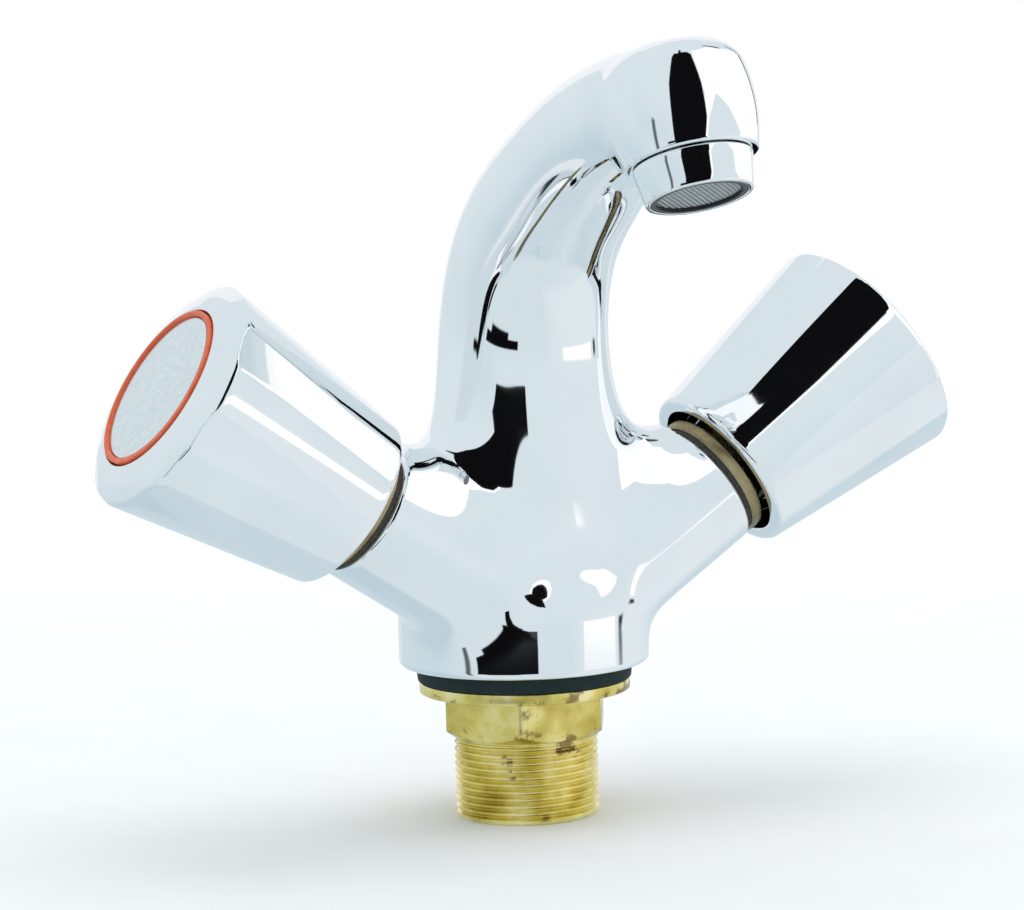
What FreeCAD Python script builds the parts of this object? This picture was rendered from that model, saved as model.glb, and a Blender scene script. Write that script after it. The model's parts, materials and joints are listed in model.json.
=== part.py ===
"""Two-handle basin mixer with a fixed cast spout, modelled in millimetres.

Frame: +Z up, +X to the cold side, the spout reaches toward -Y.
The origin is the centre of the deck plane, on the underside of the shank's flange.
"""
import FreeCAD, Part
import math
import os

Vec = FreeCAD.Vector
UP = Vec(0, 0, 1)
FORWARD = Vec(0, -1, 0)

# Shank and gasket: radii, then heights above the deck plane
THREAD_R = 15.0
SHANK_BORE_R = 11.4
HEX_ACROSS_FLATS = 32.0
FLANGE_R = 22.0
SPIGOT_R = 13.5
GASKET_R = 22.6
GASKET_SLACK = 0.2
SHANK_BOTTOM_Z = -26.2
HEX_BOTTOM_Z = -9.1
FLANGE_TOP_Z = 2.4
BASE_Z = 5.8
SPIGOT_TOP_Z = 11.5
SHANK_CHAMFER = 1.0
HEX_FACE_R = 15.4
HEX_CORNER_DROP = 2.1
FLANGE_CHAMFER = 0.4

# How far a cutter runs past the surface it opens
CUT_PAST = 1.0

# Base of the casting
BASE_R = 26.1
BASE_EDGE = 1.5
BASE_SIDE_TOP_Z = 16.5
DOME_MID_R = 23.1
DOME_MID_Z = 27.05
DOME_R = 12.6
DOME_TOP_Z = 36.0

# Arms: both axes start at one point and rise sideways
ARM_START = Vec(0, -7.6, 15.2)
ARM_RISE = 33.1
ARM_R = 14.0
ARM_END = 47.5
ARM_RIM = 1.2

# Blends between base, arms and column
BLEND_R = 10.0
BLEND_LOW_Z = 9.0
BLEND_HIGH_Z = 62.0

# Waterways
SIDES = ("hot", "cold")
MIXING_POINT = Vec(0, -4, 60)
SOCKET_CLEAR = 0.1
SOCKET_DEEPER = 0.3
INLET_X = 6.2
INLET_R = 4.6
INLET_TOP_Z = 21.8
PASSAGE_R = 3.6
PASSAGE_END = 14.0
FEED_BORE_START = 12.0
FEED_BORE_R = 4.2
MIX_PASSAGE_R = 4.0
MIX_PASSAGE_START = 27.0
WALL = 3.5

# Spout: stations along its centre line, as y, z, half depth, half width
SPOUT_STATIONS = [
    (-3.7, 20.0, 17.8, 18.8),
    (-3.9, 50.0, 16.8, 18.4),
    (-3.8, 76.7, 15.4, 17.2),
    (-10.0, 92.8, 14.8, 16.4),
    (-25.0, 106.0, 13.6, 15.2),
    (-43.5, 116.2, 12.3, 14.0),
    (-62.0, 121.0, 11.8, 13.4),
    (-73.0, 122.2, 11.3, 13.0),
]
SECTION_SQUARENESS = 2.4
SECTION_POINTS = 24

# Nozzle and aerator: their axis leans forward by this many degrees
NOZZLE_TIP = Vec(0, -78.1, 104.2)
NOZZLE_LEAN = 20.4
NOZZLE_RIM_R = 12.9
NOZZLE_MID_R = 14.3
NOZZLE_TOP_R = 13.6
NOZZLE_RIM_H = 7.4
NOZZLE_MID_H = 17.0
NOZZLE_SHOULDER_H = 24.0
NOZZLE_TOP_H = 29.4
CROWN_MID_R = 11.4
CROWN_MID_H = 27.8
CROWN_FLAT_R = 7.6
AERATOR_R = 10.5
AERATOR_EDGE = 0.4
AERATOR_SEAM_R = 11.7
AERATOR_SEAM_H = 7.2
AERATOR_THREAD_R = 10.6
AERATOR_THREAD_H = 12.0
AERATOR_BORE_R = 9.75
AERATOR_LIP_R = 9.45
AERATOR_LIP_H = 0.8
SLIP_FIT = 0.05
INSERT_LOW_H = 0.15
INSERT_MOUTH_R = 8.4
INSERT_THROAT_R = 7.9
SCREEN_LOW_H = 0.8
SCREEN_TOP_H = 1.2
WEB_LOW_H = 2.5
WEB_TOP_H = 10.0
WEB_THICK = 0.9
WEB_BITE = 0.2
NOZZLE_SEAL_H = 14.0
OUTLET_R = 7.5
OUTLET_TOP_H = 22.0

# Headwork, measured along the arm's axis from ARM_START
CHAMBER_FLOOR = 19.0
SEAT_S = 22.3
SEAT_HOLE_R = 4.4
SEAT_REST_TOP = 20.6
SEAT_LIP_R = 5.0
SEAT_LIP_FOOT_R = 5.6
CHAMBER_R = 9.2
CHAMBER_END = 29.5
THREAD_BORE_R = 10.45
BONNET_THREAD_R = 10.4
BONNET_BOTTOM = 33.6
BONNET_COLLAR_R = 13.9
BONNET_COLLAR_S = 48.5
BONNET_COLLAR_TOP = 51.2
BONNET_FLATS = 19.0
BONNET_HEX_TOP = 57.5
BONNET_BARREL_R = 7.6
BONNET_TOP = 66.0
BONNET_CHAMFER = 0.5
SEAL_INSET = 0.7
GUIDE_FLATS = 13.1
GUIDE_TOP = 52.2
COLLAR_BORE_R = 6.3
COLLAR_BORE_TOP = 56.0
SPINDLE_R = 4.0
SPINDLE_BORE_R = 4.05
SPINDLE_COLLAR_R = 6.2
SPINDLE_COLLAR_S = 53.0
SPINDLE_COLLAR_TOP = 55.0
ORING_GROOVE_R = 3.0
ORING_THICK = 1.0
ORING_SLACK = 0.15
ORING_PLACES = {"lower": 58.5, "upper": 62.0}
CIRCLIP_S = 66.15
CIRCLIP_THICK = 0.8
CIRCLIP_R = 5.6
CIRCLIP_GROOVE_R = 3.4
CIRCLIP_OPENING = 3.0

# Valve piston
PISTON_FLATS = 13.0
PISTON_BOTTOM = 25.8
PISTON_FOOT_R = 7.0
PISTON_FOOT_TOP = 28.6
PISTON_TOP = 45.5
PISTON_BORE_R = 4.0
PISTON_BORE_BOTTOM = 31.0
DRIVE_R = 3.92
DRIVE_END = 36.5
SEAT_GAP = 0.1
WASHER_R = 7.2
WASHER_SCREW_R = 1.5
WASHER_SCREW_HEAD_R = 2.8
WASHER_SCREW_HEAD_THICK = 1.3
WASHER_SCREW_TOP = 30.0

# Handle, measured along the same axis
LIP_S = 51.4
LIP_R = 18.4
LIP_INNER_R = 15.3
LIP_ROUND = 1.5
CORNER_S = 95.6
CORNER_R = 24.9
CORNER_ROUND = 1.4
FACE_S = 98.7
FACE_R = 17.9
FACE_CROWN = 0.6
FLUTES = 8
FLUTE_START = 52.4
FLUTE_CUTTER_R = 14.0
FLUTE_DEPTH = 1.3
FLUTE_PAST = 0.25
FLUTE_TURN = {"hot": 31.0, "cold": 4.0}
HANDLE_WALL = 2.2
HUB_R = 7.4
HUB_BOTTOM = 68.5
INDEX_R = 17.2
INDEX_CAP_R = 15.9
INDEX_SEAT = 96.9
RING_TOP = 99.1
CAP_TOP = 99.0
CAP_DOME_R = 320.0
SPLINE_TEETH = 20
SPLINE_TIP_R = 3.95
SPLINE_ROOT_R = 3.6
SPLINE_START = 72.0
SPLINE_END = 84.0
HUB_BORE_TOP = 84.3
HUB_WEB_TOP = 88.0
SCREW_HEAD_R = 3.6
SCREW_HEAD_THICK = 2.4
SCREW_SLOT_WIDTH = 1.0
SCREW_SLOT_DEPTH = 1.2
SCREW_CLEAR = 0.15
SCREW_R = 1.95
SCREW_START = 75.0
STEM_GAP = 1.6
CAVITY_TOP = 93.6
RIBS = 4
RIB_THICK = 1.6
RIB_BOTTOM = 80.0


def revolve(points):
    """Turn a closed outline of (radius, height) points about the Z axis."""
    corners = [Vec(r, 0, z) for r, z in points]
    wire = Part.makePolygon(corners + corners[:1])
    return Part.Face(wire).revolve(Vec(0, 0, 0), UP, 360)


def disc(radius, low, high):
    """Cylinder about the Z axis between two heights."""
    return Part.makeCylinder(radius, high - low, Vec(0, 0, low))


def tube(outer, inner, low, high):
    """Ring about the Z axis between two heights."""
    return disc(outer, low, high).cut(disc(inner, low, high))


def prism(radii, low, high, turn=0.0):
    """Prism about the Z axis whose corners take the given radii in turn."""
    corners = []
    for i, radius in enumerate(radii):
        angle = math.radians(turn + 360.0 * i / len(radii))
        corners.append(Vec(radius * math.cos(angle), radius * math.sin(angle), low))
    wire = Part.makePolygon(corners + corners[:1])
    return Part.Face(wire).extrude(Vec(0, 0, high - low))


def hexagon(flats, low, high, turn=0.0):
    """Hexagonal prism given its size across flats."""
    return prism([flats / math.sqrt(3)] * 6, low, high, turn)


def spline_prism(clear, low, high):
    """Toothed prism of the spindle's splined end, grown by a clearance."""
    return prism([SPLINE_TIP_R + clear, SPLINE_ROOT_R + clear] * SPLINE_TEETH, low, high)


def rod(start, end, radius):
    """Cylinder between two points."""
    line = end - start
    return Part.makeCylinder(radius, line.Length, start, line)


def circle_edges(shape, radius, low, high):
    """Circular edges of one radius whose centres lie between two heights."""
    found = []
    for edge in shape.Edges:
        curve = edge.Curve
        if isinstance(curve, Part.Circle) and abs(curve.Radius - radius) < 0.01:
            if low - 0.01 <= curve.Center.z <= high + 0.01:
                found.append(edge)
    return found


def side_sign(side):
    return {"hot": -1, "cold": 1}[side]


def arm_axis(side):
    rise = math.radians(ARM_RISE)
    return Vec(side_sign(side) * math.cos(rise), 0, math.sin(rise))


def arm_point(side, along):
    return ARM_START + arm_axis(side) * along


def on_arm(shape, side):
    """Move a shape from the Z axis onto one arm's axis."""
    placed = shape.copy()
    placed.Placement = FreeCAD.Placement(ARM_START, FreeCAD.Rotation(UP, arm_axis(side)))
    return placed


def nozzle_up():
    lean = math.radians(NOZZLE_LEAN)
    return Vec(0, math.sin(lean), math.cos(lean))


def on_nozzle(shape):
    """Move a shape from the Z axis onto the nozzle's axis."""
    placed = shape.copy()
    placed.Placement = FreeCAD.Placement(NOZZLE_TIP, FreeCAD.Rotation(UP, nozzle_up()))
    return placed


def spout_direction(index):
    """Unit direction of the spout's centre line at one station."""
    before = SPOUT_STATIONS[max(index - 1, 0)]
    after = SPOUT_STATIONS[min(index + 1, len(SPOUT_STATIONS) - 1)]
    return Vec(0, after[0] - before[0], after[1] - before[1]).normalize()


def spout_section(index, inset):
    """Closed superellipse section across the spout at one station."""
    y, z, half_depth, half_width = SPOUT_STATIONS[index]
    direction = UP if index == 0 else spout_direction(index)
    across = Vec(1, 0, 0)
    outward = across.cross(direction)
    power = 2.0 / SECTION_SQUARENESS
    points = []
    for i in range(SECTION_POINTS):
        angle = 2 * math.pi * i / SECTION_POINTS
        c, s = math.cos(angle), math.sin(angle)
        u = (half_width - inset) * math.copysign(abs(c) ** power, c)
        v = (half_depth - inset) * math.copysign(abs(s) ** power, s)
        points.append(Vec(0, y, z) + across * u + outward * v)
    curve = Part.BSplineCurve()
    curve.interpolate(points, PeriodicFlag=True)
    return Part.Wire(curve.toShape())


def spout_loft(first, inset):
    wires = [spout_section(i, inset) for i in range(first, len(SPOUT_STATIONS))]
    return Part.makeLoft(wires, True, False)


def base_form():
    """Turned base with a domed top."""
    side_top = Vec(BASE_R, 0, BASE_SIDE_TOP_Z)
    dome_mid = Vec(DOME_MID_R, 0, DOME_MID_Z)
    dome_end = Vec(DOME_R, 0, DOME_TOP_Z)
    corners = [Vec(0, 0, BASE_Z), Vec(BASE_R, 0, BASE_Z), side_top]
    edges = Part.makePolygon(corners).Edges
    edges.append(Part.Arc(side_top, dome_mid, dome_end).toShape())
    edges += Part.makePolygon([dome_end, Vec(0, 0, DOME_TOP_Z), corners[0]]).Edges
    form = Part.Face(Part.Wire(edges)).revolve(Vec(0, 0, 0), UP, 360)
    return form.makeFillet(BASE_EDGE, circle_edges(form, BASE_R, BASE_Z, BASE_Z))


def arm_form(side):
    arm = disc(ARM_R, 0, ARM_END)
    arm = arm.makeFillet(ARM_RIM, circle_edges(arm, ARM_R, ARM_END, ARM_END))
    return on_arm(arm, side)


def nozzle_form():
    """Barrel-shaped nozzle with a rounded top."""
    rim = Vec(NOZZLE_RIM_R, 0, NOZZLE_RIM_H)
    mid = Vec(NOZZLE_MID_R, 0, NOZZLE_MID_H)
    shoulder = Vec(NOZZLE_TOP_R, 0, NOZZLE_SHOULDER_H)
    crown_mid = Vec(CROWN_MID_R, 0, CROWN_MID_H)
    crown = Vec(CROWN_FLAT_R, 0, NOZZLE_TOP_H)
    low = Vec(0, 0, NOZZLE_RIM_H)
    edges = Part.makePolygon([low, rim]).Edges
    edges.append(Part.Arc(rim, mid, shoulder).toShape())
    edges.append(Part.Arc(shoulder, crown_mid, crown).toShape())
    edges += Part.makePolygon([crown, Vec(0, 0, NOZZLE_TOP_H), low]).Edges
    barrel = Part.Face(Part.Wire(edges)).revolve(Vec(0, 0, 0), UP, 360)
    return on_nozzle(barrel)


def waterways():
    """Everything drilled, cored or faced off the casting."""
    cuts = [disc(BASE_R, SHANK_BOTTOM_Z, BASE_Z)]
    cuts.append(disc(SPIGOT_R + SOCKET_CLEAR, BASE_Z - CUT_PAST, SPIGOT_TOP_Z + SOCKET_DEEPER))
    cuts.append(spout_loft(1, WALL))
    for side in SIDES:
        inlet_x = side_sign(side) * INLET_X
        inlet_end = Vec(inlet_x, 0, INLET_TOP_Z - INLET_R)
        cuts.append(rod(Vec(inlet_x, 0, SPIGOT_TOP_Z), Vec(inlet_x, 0, INLET_TOP_Z), INLET_R))
        cuts.append(rod(inlet_end, arm_point(side, PASSAGE_END), PASSAGE_R))
        bore = disc(THREAD_BORE_R, CHAMBER_END, ARM_END + CUT_PAST)
        bore = bore.fuse(disc(CHAMBER_R, CHAMBER_FLOOR, CHAMBER_END))
        bore = bore.fuse(disc(FEED_BORE_R, FEED_BORE_START, CHAMBER_FLOOR))
        cuts.append(on_arm(bore, side))
        cuts.append(rod(arm_point(side, MIX_PASSAGE_START), MIXING_POINT, MIX_PASSAGE_R))
    cuts.append(on_nozzle(disc(AERATOR_THREAD_R + SLIP_FIT, 0, NOZZLE_SEAL_H)))
    cuts.append(on_nozzle(disc(OUTLET_R, NOZZLE_SEAL_H, OUTLET_TOP_H)))
    return cuts


def blended_edges(form):
    """Curved edges where the arms, the column and the base meet."""
    found = []
    for edge in form.Edges:
        box = edge.BoundBox
        curved = not isinstance(edge.Curve, (Part.Line, Part.Circle))
        if curved and edge.Length > 1.5 and box.ZMin > BLEND_LOW_Z and box.ZMax < BLEND_HIGH_Z:
            found.append(edge)
    return found


def body_casting():
    """Casting: base, arms, column and spout blended into one form, then bored."""
    outside = base_form().fuse(spout_loft(0, 0.0)).removeSplitter()
    outside = outside.fuse([arm_form(side) for side in SIDES]).removeSplitter()
    outside = outside.makeFillet(BLEND_R, blended_edges(outside))
    return outside.fuse(nozzle_form()).cut(waterways()).removeSplitter()


def shank():
    """Turned brass shank: flange on the deck, hexagon, thread and a spigot up into the base."""
    turned = revolve([
        (SHANK_BORE_R, SHANK_BOTTOM_Z),
        (THREAD_R - SHANK_CHAMFER, SHANK_BOTTOM_Z),
        (THREAD_R, SHANK_BOTTOM_Z + SHANK_CHAMFER),
        (THREAD_R, 0),
        (FLANGE_R - FLANGE_CHAMFER, 0),
        (FLANGE_R, FLANGE_CHAMFER),
        (FLANGE_R, FLANGE_TOP_Z),
        (SPIGOT_R, FLANGE_TOP_Z),
        (SPIGOT_R, SPIGOT_TOP_Z - SHANK_CHAMFER),
        (SPIGOT_R - SHANK_CHAMFER, SPIGOT_TOP_Z),
        (SHANK_BORE_R, SPIGOT_TOP_Z),
    ])
    corner_r = HEX_ACROSS_FLATS / math.sqrt(3)
    hex_core_r = (SHANK_BORE_R + THREAD_R) / 2
    lathe = revolve([
        (hex_core_r, HEX_BOTTOM_Z),
        (HEX_FACE_R, HEX_BOTTOM_Z),
        (corner_r, HEX_BOTTOM_Z + HEX_CORNER_DROP),
        (corner_r, 0),
        (hex_core_r, 0),
    ])
    nut = hexagon(HEX_ACROSS_FLATS, HEX_BOTTOM_Z, 0).common(lathe)
    return turned.fuse(nut).removeSplitter()


def base_gasket():
    return tube(GASKET_R, SPIGOT_R + GASKET_SLACK, FLANGE_TOP_Z, BASE_Z)


def aerator_housing():
    """Chromed ring screwed into the nozzle."""
    return on_nozzle(revolve([
        (AERATOR_LIP_R, 0),
        (AERATOR_R - AERATOR_EDGE, 0),
        (AERATOR_R, AERATOR_EDGE),
        (AERATOR_SEAM_R, AERATOR_SEAM_H),
        (AERATOR_THREAD_R, AERATOR_SEAM_H),
        (AERATOR_THREAD_R, AERATOR_THREAD_H),
        (AERATOR_BORE_R, AERATOR_THREAD_H),
        (AERATOR_BORE_R, AERATOR_LIP_H),
        (AERATOR_LIP_R, AERATOR_LIP_H),
    ]))


def aerator_insert():
    """Plastic insert with a cross that straightens the flow."""
    shell = revolve([
        (INSERT_MOUTH_R, INSERT_LOW_H),
        (AERATOR_LIP_R - SLIP_FIT, INSERT_LOW_H),
        (AERATOR_LIP_R - SLIP_FIT, AERATOR_LIP_H),
        (AERATOR_BORE_R - SLIP_FIT, AERATOR_LIP_H),
        (AERATOR_BORE_R - SLIP_FIT, AERATOR_THREAD_H),
        (INSERT_THROAT_R, AERATOR_THREAD_H),
        (INSERT_THROAT_R, SCREEN_TOP_H),
        (INSERT_MOUTH_R, SCREEN_TOP_H),
    ])
    half_web = INSERT_THROAT_R + WEB_BITE
    for turn in (0, 90):
        web = Part.makeBox(2 * half_web, WEB_THICK, WEB_TOP_H - WEB_LOW_H)
        web.translate(Vec(-half_web, -WEB_THICK / 2, WEB_LOW_H))
        web.rotate(Vec(0, 0, 0), UP, turn)
        shell = shell.fuse(web)
    return on_nozzle(shell.removeSplitter())


def aerator_screen():
    return on_nozzle(disc(INSERT_MOUTH_R, SCREEN_LOW_H, SCREEN_TOP_H))


def aerator_washer():
    washer_r = AERATOR_THREAD_R - 2 * SLIP_FIT
    return on_nozzle(tube(washer_r, OUTLET_R, AERATOR_THREAD_H, NOZZLE_SEAL_H))


def valve_seat():
    """Brass ring in the chamber's floor with a raised lip for the washer."""
    rest_r = CHAMBER_R - SLIP_FIT
    return revolve([
        (SEAT_HOLE_R, CHAMBER_FLOOR),
        (rest_r, CHAMBER_FLOOR),
        (rest_r, SEAT_REST_TOP),
        (SEAT_LIP_FOOT_R, SEAT_REST_TOP),
        (SEAT_LIP_R, SEAT_S),
        (SEAT_HOLE_R, SEAT_S),
    ])


def bonnet_seal():
    seal_r = BONNET_COLLAR_R - SEAL_INSET
    return tube(seal_r, THREAD_BORE_R + 2 * SLIP_FIT, ARM_END, BONNET_COLLAR_S)


def bonnet():
    """Headwork bonnet: thread, sealing collar, hexagon and barrel, bored for piston and spindle."""
    chamfer = BONNET_CHAMFER
    turned = revolve([
        (0, BONNET_BOTTOM),
        (BONNET_THREAD_R - chamfer, BONNET_BOTTOM),
        (BONNET_THREAD_R, BONNET_BOTTOM + chamfer),
        (BONNET_THREAD_R, BONNET_COLLAR_S),
        (BONNET_COLLAR_R - chamfer, BONNET_COLLAR_S),
        (BONNET_COLLAR_R, BONNET_COLLAR_S + chamfer),
        (BONNET_COLLAR_R, BONNET_COLLAR_TOP - chamfer),
        (BONNET_COLLAR_R - chamfer, BONNET_COLLAR_TOP),
        (BONNET_BARREL_R, BONNET_COLLAR_TOP),
        (BONNET_BARREL_R, BONNET_TOP - chamfer),
        (BONNET_BARREL_R - chamfer, BONNET_TOP),
        (0, BONNET_TOP),
    ])
    outside = turned.fuse(hexagon(BONNET_FLATS, BONNET_COLLAR_TOP - chamfer, BONNET_HEX_TOP))
    guide = hexagon(GUIDE_FLATS, BONNET_BOTTOM - CUT_PAST, GUIDE_TOP)
    collar_bore = disc(COLLAR_BORE_R, GUIDE_TOP - CUT_PAST, COLLAR_BORE_TOP)
    spindle_bore = disc(SPINDLE_BORE_R, GUIDE_TOP, BONNET_TOP + CUT_PAST)
    return outside.cut([guide, collar_bore, spindle_bore])


def thrust_washer():
    low = SPINDLE_COLLAR_TOP + SLIP_FIT
    top = COLLAR_BORE_TOP - SLIP_FIT
    return tube(COLLAR_BORE_R - 2 * SLIP_FIT, SPINDLE_BORE_R, low, top)


def spindle():
    """Spindle: drive end, collar, shaft with seal grooves, and splined end."""
    shaft = disc(SPINDLE_R, SPINDLE_COLLAR_TOP, SPLINE_START)
    shaft = shaft.fuse(disc(DRIVE_R, DRIVE_END, SPINDLE_COLLAR_S))
    shaft = shaft.fuse(disc(SPINDLE_COLLAR_R, SPINDLE_COLLAR_S, SPINDLE_COLLAR_TOP))
    shaft = shaft.fuse(spline_prism(0.0, SPLINE_START, SPLINE_END))
    outer = SPINDLE_R + CUT_PAST
    cuts = [disc(SCREW_R, SCREW_START - CUT_PAST, SPLINE_END + CUT_PAST)]
    circlip_top = CIRCLIP_S + CIRCLIP_THICK
    cuts.append(tube(outer, CIRCLIP_GROOVE_R, CIRCLIP_S - SLIP_FIT, circlip_top + SLIP_FIT))
    for place in ORING_PLACES.values():
        half = ORING_THICK / 2 + ORING_SLACK
        cuts.append(tube(outer, ORING_GROOVE_R, place - half, place + half))
    return shaft.cut(cuts).removeSplitter()


def spindle_oring(place):
    radius = ORING_THICK / 2
    return Part.makeTorus(ORING_GROOVE_R + radius, radius, Vec(0, 0, place), UP)


def circlip():
    """Open ring in the spindle's top groove."""
    ring = tube(CIRCLIP_R, CIRCLIP_GROOVE_R, CIRCLIP_S, CIRCLIP_S + CIRCLIP_THICK)
    corner = Vec(0, -CIRCLIP_OPENING / 2, CIRCLIP_S - CUT_PAST)
    gap = Part.makeBox(CIRCLIP_R + CUT_PAST, CIRCLIP_OPENING, CIRCLIP_THICK + 2 * CUT_PAST, corner)
    return ring.cut(gap)


def handle_r(along):
    """Outer radius of the plain handle cone at a distance along its axis."""
    return LIP_R + (CORNER_R - LIP_R) * (along - LIP_S) / (CORNER_S - LIP_S)


def flute_cutters(turn):
    """Leaning cylinders that touch the cone near the lip and cut in toward the big end."""
    near = Vec(handle_r(FLUTE_START) + FLUTE_CUTTER_R, 0, FLUTE_START)
    far = Vec(CORNER_R - FLUTE_DEPTH + FLUTE_CUTTER_R, 0, CORNER_S)
    past = (far - near) * FLUTE_PAST
    cutter = rod(near - past, far + past, FLUTE_CUTTER_R)
    cutters = []
    for i in range(FLUTES):
        turned = cutter.copy()
        turned.rotate(Vec(0, 0, 0), UP, turn + 360.0 * i / FLUTES)
        cutters.append(turned)
    return cutters


def handle_form():
    """Plain outside of the handle: a cone with a shallow domed end."""
    corner = Vec(CORNER_R, 0, CORNER_S)
    face = Vec(FACE_R, 0, FACE_S)
    crown = Vec((CORNER_R + FACE_R) / 2, 0, (CORNER_S + FACE_S) / 2 + FACE_CROWN)
    bottom = Vec(0, 0, LIP_S)
    edges = Part.makePolygon([bottom, Vec(LIP_R, 0, LIP_S), corner]).Edges
    edges.append(Part.Arc(corner, crown, face).toShape())
    edges += Part.makePolygon([face, Vec(0, 0, FACE_S), bottom]).Edges
    form = Part.Face(Part.Wire(edges)).revolve(Vec(0, 0, 0), UP, 360)
    form = form.makeFillet(LIP_ROUND, circle_edges(form, LIP_R, LIP_S, LIP_S))
    return form.makeFillet(CORNER_ROUND, circle_edges(form, CORNER_R, CORNER_S, CORNER_S))


def handle(side):
    """Hollow handle with flutes, splined hub, ribs and a recess for the index."""
    cavity_r = handle_r(CAVITY_TOP) - HANDLE_WALL
    cavity = Part.makeCone(LIP_INNER_R, cavity_r, CAVITY_TOP - LIP_S, Vec(0, 0, LIP_S))
    shell = handle_form().cut(flute_cutters(FLUTE_TURN[side]))
    shell = shell.cut([cavity, disc(INDEX_R + SLIP_FIT, INDEX_SEAT, FACE_S + CUT_PAST)])
    inside = disc(HUB_R, HUB_BOTTOM, CAVITY_TOP + CUT_PAST)
    rib_corner = Vec(0, -RIB_THICK / 2, RIB_BOTTOM)
    for i in range(RIBS):
        rib = Part.makeBox(CORNER_R, RIB_THICK, CAVITY_TOP - RIB_BOTTOM, rib_corner)
        rib.rotate(Vec(0, 0, 0), UP, 45 + 360.0 * i / RIBS)
        inside = inside.fuse(rib.common(cavity))
    cuts = [disc(SPINDLE_R + SCREW_CLEAR, HUB_BOTTOM, SPLINE_START)]
    cuts.append(spline_prism(SLIP_FIT, SPLINE_START, HUB_BORE_TOP))
    cuts.append(disc(SCREW_R + SCREW_CLEAR, HUB_BORE_TOP, HUB_WEB_TOP))
    cuts.append(disc(SCREW_HEAD_R + SCREW_CLEAR, HUB_WEB_TOP, FACE_S))
    return shell.fuse(inside).cut(cuts).removeSplitter()


def handle_screw():
    head_top = HUB_WEB_TOP + SCREW_HEAD_THICK
    screw = disc(SCREW_HEAD_R, HUB_WEB_TOP, head_top).fuse(disc(SCREW_R, SCREW_START, HUB_WEB_TOP))
    corner = Vec(-SCREW_HEAD_R, -SCREW_SLOT_WIDTH / 2, head_top - SCREW_SLOT_DEPTH)
    slot = Part.makeBox(2 * SCREW_HEAD_R, SCREW_SLOT_WIDTH, SCREW_SLOT_DEPTH + CUT_PAST, corner)
    return screw.cut(slot)


def index_ring():
    return tube(INDEX_R, INDEX_CAP_R + SLIP_FIT, INDEX_SEAT, RING_TOP)


def index_cap():
    """Slightly domed cap with a stem that snaps into the recess above the screw."""
    ball = Part.makeSphere(CAP_DOME_R, Vec(0, 0, CAP_TOP - CAP_DOME_R))
    cap = disc(INDEX_CAP_R, INDEX_SEAT, CAP_TOP).common(ball)
    stem_bottom = HUB_WEB_TOP + SCREW_HEAD_THICK + STEM_GAP
    return cap.fuse(disc(SCREW_HEAD_R, stem_bottom, INDEX_SEAT)).removeSplitter()


def piston():
    """Hexagonal piston with a round foot, bored for the drive end and the washer's screw."""
    block = disc(PISTON_FOOT_R, PISTON_BOTTOM, PISTON_FOOT_TOP)
    block = block.fuse(hexagon(PISTON_FLATS, PISTON_FOOT_TOP, PISTON_TOP))
    drive_bore = disc(PISTON_BORE_R, PISTON_BORE_BOTTOM, PISTON_TOP + CUT_PAST)
    screw_bore = disc(WASHER_SCREW_R, PISTON_BOTTOM - CUT_PAST, WASHER_SCREW_TOP)
    return block.cut([drive_bore, screw_bore])


def seat_washer():
    return tube(WASHER_R, WASHER_SCREW_R, SEAT_S + SEAT_GAP, PISTON_BOTTOM)


def washer_screw():
    washer_low = SEAT_S + SEAT_GAP
    head = disc(WASHER_SCREW_HEAD_R, washer_low - WASHER_SCREW_HEAD_THICK, washer_low)
    return head.fuse(disc(WASHER_SCREW_R, washer_low, WASHER_SCREW_TOP))


def headwork(side):
    """Every piece of one valve and its handle, in place on its arm."""
    pieces = {
        "valve_seat": valve_seat(),
        "bonnet_seal": bonnet_seal(),
        "bonnet": bonnet(),
        "thrust_washer": thrust_washer(),
        "spindle": spindle(),
        "circlip": circlip(),
        "handle": handle(side),
        "handle_screw": handle_screw(),
        "index_ring": index_ring(),
        "index_cap": index_cap(),
        "piston": piston(),
        "seat_washer": seat_washer(),
        "washer_screw": washer_screw(),
    }
    for name, place in ORING_PLACES.items():
        pieces["oring_" + name] = spindle_oring(place)
    return {side + "_" + name: on_arm(shape, side) for name, shape in pieces.items()}


def all_nodes():
    nodes = {
        "body_casting": body_casting(),
        "shank": shank(),
        "base_gasket": base_gasket(),
        "aerator_housing": aerator_housing(),
        "aerator_insert": aerator_insert(),
        "aerator_screen": aerator_screen(),
        "aerator_washer": aerator_washer(),
    }
    for side in SIDES:
        nodes.update(headwork(side))
    return nodes


def single_solid(shape):
    """The one solid a node consists of."""
    if len(shape.Solids) != 1 or not shape.isValid():
        raise ValueError("a node is not one valid solid")
    return shape.Solids[0]


os.makedirs("parts", exist_ok=True)
for node, shape in all_nodes().items():
    solid = single_solid(shape)
    solid.exportStep("parts/" + node + ".step")
    print(node, len(solid.Faces), round(solid.Volume))
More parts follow.
